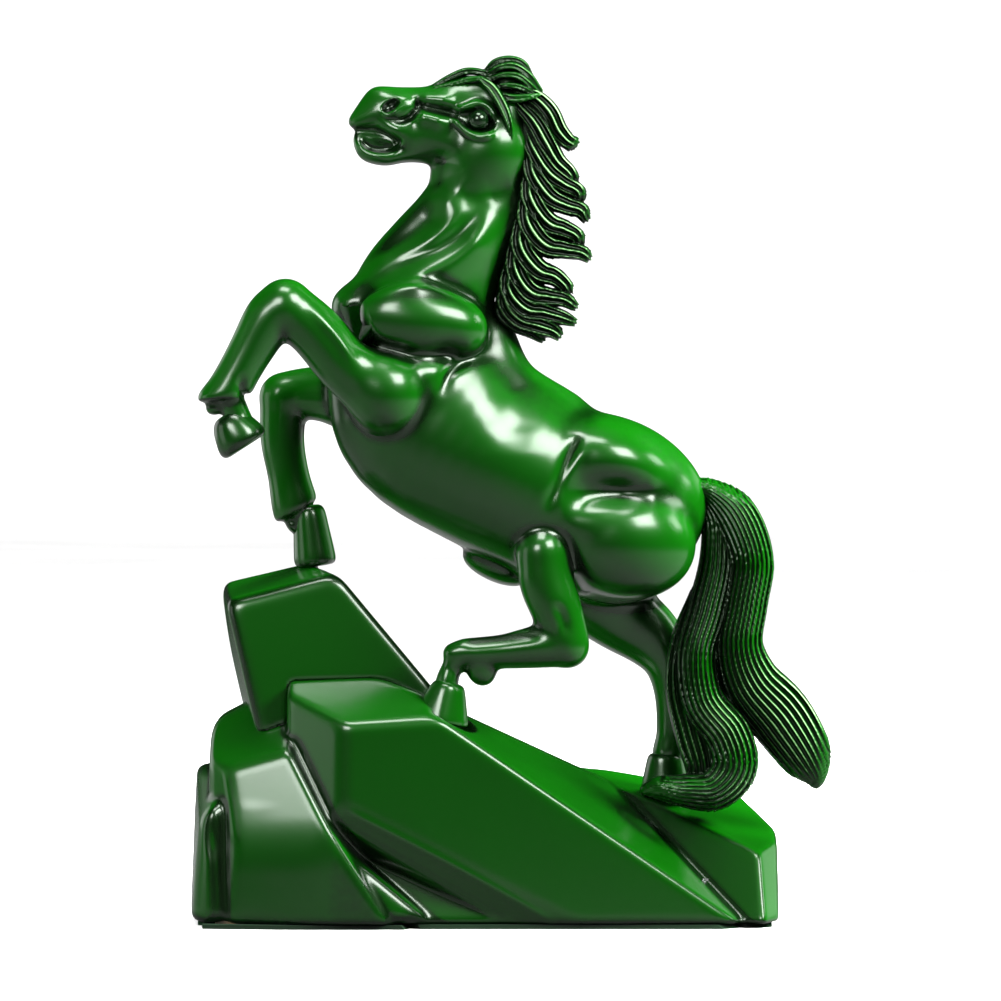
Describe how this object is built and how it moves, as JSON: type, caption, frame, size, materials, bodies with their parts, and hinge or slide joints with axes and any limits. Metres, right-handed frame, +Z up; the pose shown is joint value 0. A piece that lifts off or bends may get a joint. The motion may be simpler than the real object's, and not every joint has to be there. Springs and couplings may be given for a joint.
{
  "type": "rearing horse figurine",
  "caption": "Ornament of a horse rearing on a faceted rock, cast in parts, lacquered jade green, with a felted foot to stand on.",
  "frame": {"origin": "on the standing surface, under the middle of the figurine's length and width", "axes": "+Z up; -X is the way the horse faces; -Y is its near side; +X the tail end"},
  "size_m": [0.2157, 0.0799, 0.2948],
  "materials": {
    "horse_lacquer": "satin",
    "hoof_lacquer": "gloss",
    "hair_lacquer": "satin",
    "eye_gloss": "gloss",
    "rock_lacquer": "satin",
    "armature_steel": "satin",
    "zinc_plate": "satin",
    "board_wood": "matte",
    "felt_cloth": "matte",
    "mortar": "matte"
  },
  "bodies": {
    "root": {"body": "horse_lacquer", "neck": "horse_lacquer", "head": "horse_lacquer", "near_foreleg": "horse_lacquer", "far_foreleg": "horse_lacquer", "near_hind_leg": "horse_lacquer", "far_hind_leg": "horse_lacquer", "near_fore_hoof": "hoof_lacquer", "far_fore_hoof": "hoof_lacquer", "near_hind_hoof": "hoof_lacquer", "far_hind_hoof": "hoof_lacquer", "mane": "hair_lacquer", "forelock": "hair_lacquer", "tail": "hair_lacquer", "near_eye": "eye_gloss", "far_eye": "eye_gloss", "rock_base": "rock_lacquer", "rock_crag": "rock_lacquer", "near_hind_armature": "armature_steel", "far_hind_armature": "armature_steel", "near_foreleg_armature": "armature_steel", "far_foreleg_armature": "armature_steel", "tail_armature": "armature_steel", "neck_dowel": "armature_steel", "head_dowel": "armature_steel", "crag_dowels": "armature_steel", "far_fore_hoof_pin": "armature_steel", "board_screws": "zinc_plate", "armature_nuts": "zinc_plate", "armature_washers": "zinc_plate", "base_board": "board_wood", "felt_sheet": "felt_cloth", "ballast_block": "mortar"}
  },
  "joints": []
}
